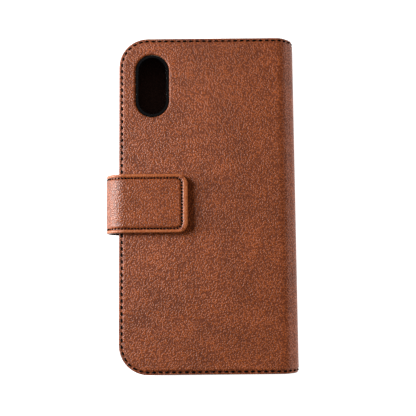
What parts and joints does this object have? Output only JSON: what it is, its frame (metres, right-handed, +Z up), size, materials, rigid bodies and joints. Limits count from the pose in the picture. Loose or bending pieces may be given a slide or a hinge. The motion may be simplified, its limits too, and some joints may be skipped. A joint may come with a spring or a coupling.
{
  "type": "phone wallet case",
  "caption": "Leather folding phone wallet case lying closed, with a moulded phone tray, camera window, card pockets, soft folding spine and a magnetic strap clasp.",
  "frame": {"origin": "middle of the front cover's outer face, which the closed case lies on", "axes": "+X from the open edge to the spine, +Y along the case towards the camera window, +Z up through the closed case"},
  "size_m": [0.0853, 0.15, 0.0206],
  "materials": {
    "outer_leather": "pebbled, semi-matt",
    "lining_leather": "smooth, matt",
    "pulp_board": "raw grey board",
    "seam_thread": "waxed thread",
    "tray_plastic": "fine satin moulding",
    "plated_steel": "nickel plated",
    "adhesive_film": "double-sided film"
  },
  "bodies": {
    "front_cover": {"front_skin": "outer_leather", "front_thread": "seam_thread", "front_board": "pulp_board", "front_lining": "lining_leather", "cash_pocket": "lining_leather", "card_slot_1": "lining_leather", "card_slot_2": "lining_leather", "card_slot_3": "lining_leather", "strap_root": "lining_leather"},
    "spine_strip_1": {"spine_skin_1": "outer_leather", "spine_lining_1": "lining_leather"},
    "spine_strip_2": {"spine_skin_2": "outer_leather", "spine_lining_2": "lining_leather"},
    "spine_strip_3": {"spine_skin_3": "outer_leather", "spine_lining_3": "lining_leather"},
    "back_cover": {"back_skin": "outer_leather", "back_thread": "seam_thread", "back_board": "pulp_board", "keeper_plate": "plated_steel", "back_lining": "lining_leather", "tray_adhesive": "adhesive_film", "phone_tray": "tray_plastic"},
    "strap_side_1": {"strap_skin_1": "outer_leather", "strap_lining_1": "lining_leather"},
    "strap_side_2": {"strap_skin_2": "outer_leather", "strap_lining_2": "lining_leather"},
    "strap_side_3": {"strap_skin_3": "outer_leather", "strap_lining_3": "lining_leather"},
    "strap_flap": {"flap_skin": "outer_leather", "flap_thread": "seam_thread", "flap_filler": "pulp_board", "flap_lining": "lining_leather", "clasp_magnet": "plated_steel"}
  },
  "joints": [
    {"name": "spine_fold_front", "type": "hinge", "parent": "front_cover", "child": "spine_strip_1", "pos_m": [0.0366, 0, 0.00075], "axis": [0, 1, 0], "range_deg": [0, 45]},
    {"name": "spine_fold_low", "type": "hinge", "parent": "spine_strip_1", "child": "spine_strip_2", "pos_m": [0.04183, 0, 0.00598], "axis": [0, 1, 0], "range_deg": [0, 45]},
    {"name": "spine_fold_high", "type": "hinge", "parent": "spine_strip_2", "child": "spine_strip_3", "pos_m": [0.04183, 0, 0.01172], "axis": [0, 1, 0], "range_deg": [0, 45]},
    {"name": "spine_fold_back", "type": "hinge", "parent": "spine_strip_3", "child": "back_cover", "pos_m": [0.0366, 0, 0.01695], "axis": [0, 1, 0], "range_deg": [0, 45]},
    {"name": "strap_fold_front", "type": "hinge", "parent": "front_cover", "child": "strap_side_1", "pos_m": [-0.0373, 0, 0.0014], "axis": [0, -1, 0], "range_deg": [0, 45]},
    {"name": "strap_fold_low", "type": "hinge", "parent": "strap_side_1", "child": "strap_side_2", "pos_m": [-0.0417, 0, 0.0058], "axis": [0, -1, 0], "range_deg": [0, 45]},
    {"name": "strap_fold_high", "type": "hinge", "parent": "strap_side_2", "child": "strap_side_3", "pos_m": [-0.0417, 0, 0.0152], "axis": [0, -1, 0], "range_deg": [0, 45]},
    {"name": "strap_fold_flap", "type": "hinge", "parent": "strap_side_3", "child": "strap_flap", "pos_m": [-0.0373, 0, 0.0196], "axis": [0, -1, 0], "range_deg": [0, 45]}
  ],
  "couplings": [
    {"joint": "spine_fold_low", "follows": "spine_fold_front", "ratio": 1},
    {"joint": "spine_fold_high", "follows": "spine_fold_front", "ratio": 1},
    {"joint": "spine_fold_back", "follows": "spine_fold_front", "ratio": 1},
    {"joint": "strap_fold_low", "follows": "strap_fold_front", "ratio": 1},
    {"joint": "strap_fold_high", "follows": "strap_fold_front", "ratio": 1},
    {"joint": "strap_fold_flap", "follows": "strap_fold_front", "ratio": 1}
  ]
}
